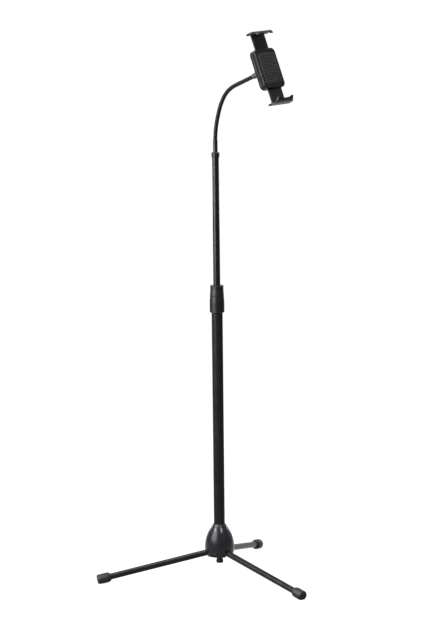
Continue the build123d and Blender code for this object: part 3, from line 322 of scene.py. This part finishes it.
satin_hub_plastic = finish(
    "satin_hub_plastic", (0.0082, 0.0082, 0.012), (0.011, 0.011, 0.0152), rough=0.19,
    wave=9 * MM, wave_depth=4 * MICRON, grain=0.5 * MM, grain_depth=0.5 * MICRON, specular=0.2)
black_trim_plastic = finish(
    "black_trim_plastic", grey(0.006), grey(0.009), rough=0.42,
    wave=4 * MM, wave_depth=6 * MICRON, grain=0.4 * MM, grain_depth=2 * MICRON, specular=0.14)
painted_casting = finish(
    "painted_casting", grey(0.016), grey(0.024), rough=0.5,
    wave=3 * MM, wave_depth=30 * MICRON, grain=0.8 * MM, grain_depth=12 * MICRON, specular=0.35)
zinc_plated_steel = finish(
    "zinc_plated_steel", grey(0.48, -0.02), grey(0.56, 0.01), rough=0.3,
    wave=3 * MM, wave_depth=3 * MICRON, grain=0.3 * MM, grain_depth=1 * MICRON,
    specular=0.5, metallic=1.0)
black_oxide_steel = finish(
    "black_oxide_steel", grey(0.018), grey(0.028), rough=0.42,
    wave=2 * MM, wave_depth=3 * MICRON, grain=0.3 * MM, grain_depth=1.5 * MICRON,
    specular=0.5, metallic=1.0)
die_cast_knuckle = finish(
    "die_cast_knuckle", grey(0.26), grey(0.34), rough=0.46,
    wave=2.5 * MM, wave_depth=14 * MICRON, grain=0.5 * MM, grain_depth=5 * MICRON,
    specular=0.5, metallic=1.0)
leg_powder_coat = finish(
    "leg_powder_coat", grey(0.0075), grey(0.0105), rough=0.26,
    wave=5 * MM, wave_depth=3 * MICRON, grain=0.7 * MM, grain_depth=0.7 * MICRON, specular=0.11)
foot_rubber = finish(
    "foot_rubber", grey(0.015, 0.02), grey(0.02, 0.02), rough=0.5,
    wave=4 * MM, wave_depth=20 * MICRON, grain=0.45 * MM, grain_depth=6 * MICRON, specular=0.1)
lower_mast_powder_coat = finish(
    "lower_mast_powder_coat", grey(0.016), grey(0.02), rough=0.25,
    wave=5 * MM, wave_depth=2 * MICRON, grain=0.7 * MM, grain_depth=0.5 * MICRON, specular=0.045)
upper_mast_gloss_black = finish(
    "upper_mast_gloss_black", grey(0.003), grey(0.0042), rough=0.18,
    wave=12 * MM, wave_depth=1.5 * MICRON, grain=0.8 * MM, grain_depth=0.1 * MICRON, specular=0.25)
clutch_plastic = finish(
    "clutch_plastic", grey(0.011, -0.05), grey(0.0145, -0.05), rough=0.24,
    wave=9 * MM, wave_depth=2.5 * MICRON, grain=0.4 * MM, grain_depth=0.4 * MICRON, specular=0.14)
natural_nylon = finish(
    "natural_nylon", (0.6, 0.59, 0.55), (0.68, 0.67, 0.63), rough=0.45,
    wave=4 * MM, wave_depth=6 * MICRON, grain=0.5 * MM, grain_depth=2 * MICRON, specular=0.5)
collar_gloss_black = finish(
    "collar_gloss_black", grey(0.005), grey(0.007), rough=0.17,
    wave=9 * MM, wave_depth=1.5 * MICRON, grain=0.8 * MM, grain_depth=0.1 * MICRON, specular=0.22)
neck_black_coating = finish(
    "neck_black_coating", grey(0.003), grey(0.0045), rough=0.24,
    wave=8 * MM, wave_depth=1.5 * MICRON, grain=0.4 * MM, grain_depth=0.3 * MICRON, specular=0.1)
shrink_sleeve = finish(
    "shrink_sleeve", grey(0.0035), grey(0.005), rough=0.24,
    wave=8 * MM, wave_depth=2.5 * MICRON, grain=0.5 * MM, grain_depth=0.3 * MICRON, specular=0.18)
holder_gloss_plastic = finish(
    "holder_gloss_plastic", grey(0.0045), grey(0.0065), rough=0.2,
    wave=9 * MM, wave_depth=3 * MICRON, grain=0.6 * MM, grain_depth=0.2 * MICRON, specular=0.15)
soft_pad_rubber = finish(
    "soft_pad_rubber", grey(0.010), grey(0.015), rough=0.62,
    wave=4 * MM, wave_depth=10 * MICRON, grain=0.4 * MM, grain_depth=5 * MICRON, specular=0.14)

finish_of_slot = {
    "hub_plastic": satin_hub_plastic,
    "trim_plastic": black_trim_plastic,
    "hub_casting": painted_casting,
    "steel": zinc_plated_steel,
    "knuckle_metal": die_cast_knuckle,
    "leg_paint": leg_powder_coat,
    "foot_rubber": foot_rubber,
    "lower_mast_paint": lower_mast_powder_coat,
    "upper_mast_paint": upper_mast_gloss_black,
    "clutch_plastic": clutch_plastic,
    "bush_plastic": natural_nylon,
    "collar_paint": collar_gloss_black,
    "neck_coating": neck_black_coating,
    "sleeve_rubber": shrink_sleeve,
    "holder_plastic": holder_gloss_plastic,
    "pad_rubber": soft_pad_rubber,
}

slot_of = {}
body_of = {}
for part in frame["record"]["subparts"]:
    slot_of[part["node"]] = part["material_slot"]
for name, node in frame["nodes"].items():
    body_of[name] = node.parent.name.removeprefix("body:")
    node.data.materials.clear()
    node.data.materials.append(finish_of_slot[slot_of[name]])

# The small steel pieces that can be seen are blackened
blackened = ("hub_shell_screws", "housing_screws", "ferrule_grub_screw", "mast_set_screw", "ball_stud")
for name in blackened:
    frame["nodes"][name].data.materials[0] = black_oxide_steel

# Where faces turn by more than this, in degrees, the edge is shaded sharp, and soften() rounds it
SOFT_ANGLE = 32


def select_only(piece):
    bpy.ops.object.select_all(action="DESELECT")
    piece.select_set(True)
    bpy.context.view_layer.objects.active = piece


def settle(piece, placement=None):
    """Puts a piece in its place and leaves that place in its mesh."""
    if placement:
        piece.matrix_world = placement @ piece.matrix_world
    select_only(piece)
    bpy.ops.object.transform_apply(location=True, rotation=True, scale=True)


def close_and_face_outwards(piece):
    """Joins points that lie on each other and turns every face outwards."""
    select_only(piece)
    bpy.ops.object.mode_set(mode="EDIT")
    bpy.ops.mesh.select_all(action="SELECT")
    bpy.ops.mesh.remove_doubles(threshold=WELD)
    bpy.ops.mesh.normals_make_consistent(inside=False)
    bpy.ops.object.mode_set(mode="OBJECT")


def smooth(piece, angle=SOFT_ANGLE):
    """Smooth shading, but for edges sharper than the angle, in degrees."""
    select_only(piece)
    bpy.ops.object.shade_smooth_by_angle(angle=math.radians(angle))


def stand_for(piece, *nodes):
    """The piece replaces CAD nodes of one slot and takes their finish."""
    slot = slot_of[nodes[0]]
    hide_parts(*nodes)
    piece.data.materials.clear()
    piece.data.materials.append(finish_of_slot[slot])


def turned(name, rings, around):
    """Closed turned piece on the Z axis, from rings of (radius, height)."""
    bpy.ops.object.select_all(action="DESELECT")
    radius, height = rings[0]
    bpy.ops.mesh.primitive_circle_add(
        vertices=around, radius=radius, fill_type="NGON", location=(0, 0, height))
    piece = bpy.context.active_object
    piece.name = name
    settle(piece)
    bpy.ops.object.mode_set(mode="EDIT")
    bpy.ops.mesh.select_all(action="SELECT")
    for next_radius, next_height in rings[1:]:
        bpy.ops.mesh.extrude_region_move(TRANSFORM_OT_translate={"value": (0, 0, next_height - height)})
        share = next_radius / radius
        bpy.ops.transform.resize(value=(share, share, 1), center_override=(0, 0, next_height))
        radius, height = next_radius, next_height
    bpy.ops.object.mode_set(mode="OBJECT")
    close_and_face_outwards(piece)
    return piece


# Feet, on the axes of the legs
LEG_RADIUS = 7.1 * MM
FOOT_AXIS_HEIGHT = 11.2 * MM
FOOT_BARREL = 11.6 * MM
FOOT_LENGTH = 32 * MM
FOOT_END_WALL = 4.5 * MM
FOOT_END_ROUND = 4 * MM
FOOT_GROOVE_DEPTH = 0.3 * MM
FOOT_SIDES = 56
FOOT_SOFT_ANGLE = 28
CUT_TOLERANCE = 0.001 * MM
LEG_REACH = 271 * MM
LEG_APEX = 64.5 * MM
LEG_AZIMUTHS = {"front": -90, "right": 30, "left": 150}
LEG_SLOPE = math.atan((LEG_APEX - FOOT_AXIS_HEIGHT) / LEG_REACH)


def rubber_foot(side, azimuth):
    """Rubber cap on a leg's end, with a groove near its end and a flat sole on the floor."""
    bore = LEG_RADIUS + 0.05 * MM
    in_groove = FOOT_BARREL - FOOT_GROOVE_DEPTH
    rings = [(bore, FOOT_LENGTH - FOOT_END_WALL), (bore, 0.4 * MM), (bore + 0.3 * MM, 0)]
    rings += [(7.7 * MM, 0), (8 * MM, 0.3 * MM), (9.9 * MM, 2.4 * MM), (10.8 * MM, 4.2 * MM)]
    rings += [(11.3 * MM, 6 * MM), (11.5 * MM, 7.4 * MM), (FOOT_BARREL, 9 * MM)]
    rings += [(FOOT_BARREL, FOOT_LENGTH - 7.6 * MM), (in_groove, FOOT_LENGTH - 7.2 * MM)]
    rings += [(in_groove, FOOT_LENGTH - 6.6 * MM), (FOOT_BARREL, FOOT_LENGTH - 6.2 * MM)]
    rings += [(FOOT_BARREL, FOOT_LENGTH - FOOT_END_ROUND)]
    for step in range(1, 7):
        turn = math.radians(15 * step)
        rings.append((
            FOOT_BARREL - FOOT_END_ROUND * (1 - math.cos(turn)),
            FOOT_LENGTH - FOOT_END_ROUND * (1 - math.sin(turn)),
        ))
    rings += [(5 * MM, FOOT_LENGTH), (4.4 * MM, FOOT_LENGTH - 0.8 * MM)]
    foot = turned(f"rubber_foot_{side}", rings, FOOT_SIDES)
    down_leg = toward(azimuth) * math.cos(LEG_SLOPE) - Vector((0, 0, math.sin(LEG_SLOPE)))
    middle = Vector((0, MAST_Y, FOOT_AXIS_HEIGHT)) + toward(azimuth) * LEG_REACH
    turn = down_leg.to_track_quat("Z", "Y").to_matrix().to_4x4()
    settle(foot, Matrix.Translation(middle - down_leg * FOOT_LENGTH / 2) @ turn)
    bpy.ops.object.mode_set(mode="EDIT")
    bpy.ops.mesh.select_all(action="SELECT")
    bpy.ops.mesh.bisect(
        plane_co=(0, 0, 0), plane_no=(0, 0, 1), use_fill=True, clear_inner=True, threshold=CUT_TOLERANCE)
    bpy.ops.object.mode_set(mode="OBJECT")
    close_and_face_outwards(foot)
    smooth(foot, FOOT_SOFT_ANGLE)
    stand_for(foot, f"foot_{side}")
    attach(foot, f"leg_{side}")


for side, azimuth in LEG_AZIMUTHS.items():
    rubber_foot(side, azimuth)


# Gooseneck: its centre line in the plane X = 0, forward is -Y
NECK_RADIUS = 4.7 * MM
FERRULE_TOP = 986.32 * MM
NECK_STRAIGHT = 23.7 * MM
BASE_BEND = 28.0 * MM
BASE_TURN = 9
LINK_LENGTH = 26.5 * MM
LINK_TURNS = [8, 6, 12, 20, 14, 0, 0, 0]
RIBS_PER_LINK = 16
RIB_PITCH = LINK_LENGTH / RIBS_PER_LINK
RIB_DEPTH = 0.12 * MM
RIB_SHOULDER = 0.03 * MM
NECK_SIDES = 28
NECK_SOFT_ANGLE = 40


def heading_vector(heading):
    """Direction along the neck, in degrees from upright to forward."""
    return Vector((0, -math.sin(math.radians(heading)), math.cos(math.radians(heading))))


def arc_end(start, heading, length, turn):
    """Place and heading at the end of an arc of the neck, turn in degrees."""
    chord = length
    if turn:
        half = math.radians(turn / 2)
        chord = length * math.sin(half) / half
    return start + heading_vector(heading + turn / 2) * chord, heading + turn


neck_foot = Vector((0, MAST_Y, FERRULE_TOP))
neck_stations = [(neck_foot, 0), (neck_foot + Vector((0, 0, NECK_STRAIGHT)), 0)]
neck_stations.append(arc_end(*neck_stations[-1], BASE_BEND, BASE_TURN))
for turn in LINK_TURNS:
    neck_stations.append(arc_end(*neck_stations[-1], LINK_LENGTH, turn))
joint_length = NECK_STRAIGHT + BASE_BEND


def neck_guide():
    """Smooth curve through the stations of the neck, that the ribs are bent along."""
    bpy.ops.object.select_all(action="DESELECT")
    data = bpy.data.curves.new("neck_guide", "CURVE")
    data.dimensions = "3D"
    data.resolution_u = 32
    data.twist_mode = "MINIMUM"
    spline = data.splines.new("BEZIER")
    spline.bezier_points.add(len(neck_stations) - 1)
    runs = [NECK_STRAIGHT, BASE_BEND] + [LINK_LENGTH] * len(LINK_TURNS)
    for k, (place, heading) in enumerate(neck_stations):
        point = spline.bezier_points[k]
        before = runs[max(k - 1, 0)] / 3
        after = runs[min(k, len(runs) - 1)] / 3
        point.co = place
        point.handle_left_type = "FREE"
        point.handle_right_type = "FREE"
        point.handle_left = place - heading_vector(heading) * before
        point.handle_right = place + heading_vector(heading) * after
    guide = bpy.data.objects.new("neck_guide", data)
    bpy.context.scene.collection.objects.link(guide)
    return guide


guide = neck_guide()


def neck_skin(name, start, ribs):
    """Ribbed tube along the neck from a distance above the collar, one rib repeated and bent."""
    groove = NECK_RADIUS - RIB_DEPTH
    shoulder = NECK_RADIUS - RIB_SHOULDER
    rib_rings = [(groove, 0), (shoulder, 0.24), (NECK_RADIUS, 0.5), (shoulder, 0.76), (groove, 1)]
    bpy.ops.object.select_all(action="DESELECT")
    bpy.ops.mesh.primitive_circle_add(
        vertices=NECK_SIDES, radius=groove, fill_type="NOTHING", location=(0, 0, start))
    skin = bpy.context.active_object
    skin.name = name
    settle(skin)
    bpy.ops.object.mode_set(mode="EDIT")
    bpy.ops.mesh.select_all(action="SELECT")
    radius, share = rib_rings[0]
    for next_radius, next_share in rib_rings[1:]:
        rise = (next_share - share) * RIB_PITCH
        bpy.ops.mesh.extrude_edges_move(TRANSFORM_OT_translate={"value": (0, 0, rise)})
        grow = next_radius / radius
        middle = (0, 0, start + next_share * RIB_PITCH)
        bpy.ops.transform.resize(value=(grow, grow, 1), center_override=middle)
        radius, share = next_radius, next_share
    bpy.ops.object.mode_set(mode="OBJECT")
    array = skin.modifiers.new("ribs", "ARRAY")
    array.count = ribs
    array.use_relative_offset = False
    array.use_constant_offset = True
    array.constant_offset_displace = (0, 0, RIB_PITCH)
    array.use_merge_vertices = True
    array.merge_threshold = 0.01 * MM
    bend = skin.modifiers.new("bend", "CURVE")
    bend.object = guide
    bend.deform_axis = "POS_Z"
    select_only(skin)
    bpy.ops.object.modifier_apply(modifier="ribs")
    bpy.ops.object.modifier_apply(modifier="bend")
    bpy.ops.object.mode_set(mode="EDIT")
    bpy.ops.mesh.select_all(action="DESELECT")
    bpy.ops.mesh.select_non_manifold()
    bpy.ops.mesh.edge_face_add()
    bpy.ops.object.mode_set(mode="OBJECT")
    close_and_face_outwards(skin)
    smooth(skin, NECK_SOFT_ANGLE)
    return skin


half_link = RIBS_PER_LINK // 2
last_joint = len(LINK_TURNS) - 1
for joint in range(len(LINK_TURNS)):
    ribs_before = RIBS_PER_LINK if joint == 0 else half_link
    ribs_after = RIBS_PER_LINK if joint == last_joint else half_link
    start = joint_length + joint * LINK_LENGTH - ribs_before * RIB_PITCH
    skin = neck_skin(f"neck_skin_{joint + 1}", start, ribs_before + ribs_after)
    covered = ["neck_base"] if joint == 0 else [f"neck_link_{joint}"]
    if joint == last_joint:
        covered.append(f"neck_link_{last_joint + 1}")
    stand_for(skin, *covered)
    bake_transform(skin)

bpy.data.objects.remove(guide)


# Holder: its plane lies on the ball of the joint, X to the right, Y up the tablet, Z to the reader
HOLDER_ORIGIN = Vector((0, -93.8091 * MM, 1176.99 * MM))
HOLDER_TILT = math.radians(23.5)
HOLDER_TURN = math.radians(2.0)
holder_z = Vector((0, -math.cos(HOLDER_TILT), math.sin(HOLDER_TILT)))
holder_x = Vector((
    math.cos(HOLDER_TURN),
    math.sin(HOLDER_TURN) * math.sin(HOLDER_TILT),
    math.sin(HOLDER_TURN) * math.cos(HOLDER_TILT),
))
holder_y = holder_z.cross(holder_x)
holder_turn = Matrix((holder_x, holder_y, holder_z)).transposed().to_4x4()
on_holder = Matrix.Translation(HOLDER_ORIGIN) @ holder_turn

PAD_BACK = 28.0 * MM
PAD_FACE = 29.5 * MM
PAD_WIDTH = 48 * MM
PAD_HEIGHT = 72 * MM
PAD_CORNER = 7 * MM
JAW_INNER = 79.0 * MM
JAW_SEAT = 80.2 * MM
JAW_PAD_WIDTH = 50 * MM
JAW_PAD_DEPTH = 10.15 * MM


def slab(name, size, place, corner, rim):
    """Flat pad with rounded corners and a rounded upper rim, thickness along Z."""
    bpy.ops.object.select_all(action="DESELECT")
    bpy.ops.mesh.primitive_cube_add(size=1, location=place, scale=size)
    piece = bpy.context.active_object
    piece.name = name
    settle(piece)
    bpy.ops.object.mode_set(mode="EDIT")
    bpy.ops.mesh.select_mode(type="EDGE")
    bpy.ops.mesh.select_all(action="DESELECT")
    bpy.ops.object.mode_set(mode="OBJECT")
    for edge in piece.data.edges:
        first, second = (piece.data.vertices[v].co for v in edge.vertices)
        edge.select = abs(first.z - second.z) > size[2] / 2
    bpy.ops.object.mode_set(mode="EDIT")
    bpy.ops.mesh.bevel(offset=corner, segments=8, affect="EDGES")
    bpy.ops.mesh.select_all(action="DESELECT")
    bpy.ops.object.mode_set(mode="OBJECT")
    top = place[2] + size[2] / 2
    for edge in piece.data.edges:
        first, second = (piece.data.vertices[v].co for v in edge.vertices)
        edge.select = abs(first.z - top) < CUT_TOLERANCE and abs(second.z - top) < CUT_TOLERANCE
    bpy.ops.object.mode_set(mode="EDIT")
    bpy.ops.mesh.bevel(offset=rim, segments=3, affect="EDGES")
    bpy.ops.object.mode_set(mode="OBJECT")
    return piece


def repeat(piece, count, step):
    """Puts copies of a piece in a row, in one object."""
    row = piece.modifiers.new("row", "ARRAY")
    row.count = count
    row.use_relative_offset = False
    row.use_constant_offset = True
    row.constant_offset_displace = step
    select_only(piece)
    bpy.ops.object.modifier_apply(modifier="row")


def joined(name, first, *others):
    """One object from several, under one name."""
    select_only(first)
    for other in others:
        other.select_set(True)
    bpy.ops.object.join()
    first.name = name
    return first


def ribbed_front_pad():
    """Soft pad behind the tablet: a thin rounded sheet with raised bars across it."""
    sheet = 0.9 * MM
    sheet_place = (0, 0, PAD_BACK + sheet / 2)
    base = slab("pad_sheet", (PAD_WIDTH, PAD_HEIGHT, sheet), sheet_place, PAD_CORNER, 0.3 * MM)
    bars = 13
    pitch = 5 * MM
    bar_height = PAD_FACE - PAD_BACK - sheet + 0.1 * MM
    bar_size = (PAD_WIDTH - 7 * MM, 3.2 * MM, bar_height)
    bar_place = (0, -(bars - 1) / 2 * pitch, PAD_FACE - bar_height / 2)
    bar = slab("pad_bar", bar_size, bar_place, 1.5 * MM, 0.35 * MM)
    repeat(bar, bars, (0, pitch, 0))
    pad = joined("ribbed_front_pad", base, bar)
    settle(pad, on_holder)
    smooth(pad)
    stand_for(pad, "front_pad")
    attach(pad, body_of["front_pad"])


ribbed_front_pad()


def ribbed_jaw_pad(side, up):
    """Soft strip on the jaw's floor, with small ridges that grip the tablet's edge."""
    sheet = 0.7 * MM
    ridges = 12
    pitch = 4 * MM
    middle = PAD_FACE + JAW_PAD_DEPTH / 2
    thickness = JAW_SEAT - JAW_INNER
    base = slab("strip", (JAW_PAD_WIDTH, JAW_PAD_DEPTH, sheet), (0, 0, sheet / 2), 1.2 * MM, 0.2 * MM)
    ridge_size = (2.4 * MM, JAW_PAD_DEPTH - 1.2 * MM, thickness - sheet + 0.1 * MM)
    ridge_place = (-(ridges - 1) / 2 * pitch, 0, thickness - ridge_size[2] / 2)
    ridge = slab("ridge", ridge_size, ridge_place, 1.1 * MM, 0.25 * MM)
    repeat(ridge, ridges, (pitch, 0, 0))
    strip = joined(f"ribbed_{side}_jaw_pad", base, ridge)
    lie_down = Matrix.Rotation(math.radians(90 * up), 4, "X")
    settle(strip, on_holder @ Matrix.Translation((0, up * JAW_SEAT, middle)) @ lie_down)
    smooth(strip)
    stand_for(strip, f"{side}_jaw_pad")
    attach(strip, body_of[f"{side}_jaw_pad"])


ribbed_jaw_pad("upper", 1)
ribbed_jaw_pad("lower", -1)


def soften(node_name, width):
    """Stands a copy of the CAD piece in its place, with its sharp edges rounded as a mould leaves them."""
    node = frame["nodes"][node_name]
    piece = node.copy()
    piece.data = node.data.copy()
    piece.parent = None
    piece.name = node_name + "_moulded"
    bpy.context.scene.collection.objects.link(piece)
    select_only(piece)
    bpy.ops.object.mode_set(mode="EDIT")
    bpy.ops.mesh.select_all(action="SELECT")
    bpy.ops.mesh.remove_doubles(threshold=WELD)
    bpy.ops.mesh.dissolve_limited(angle_limit=math.radians(0.6))
    bpy.ops.object.mode_set(mode="OBJECT")
    soft = piece.modifiers.new("soft_edges", "BEVEL")
    soft.width = width
    soft.segments = 3
    soft.limit_method = "ANGLE"
    soft.angle_limit = math.radians(SOFT_ANGLE)
    bpy.ops.object.modifier_apply(modifier="soft_edges")
    smooth(piece)
    stand_for(piece, node_name)
    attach(piece, body_of[node_name])


for arm in ("upper_arm", "lower_arm"):
    soften(arm, 0.7 * MM)
for shell in ("housing_front", "housing_back"):
    soften(shell, 0.3 * MM)

bpy.context.scene.view_settings.view_transform = "Standard"
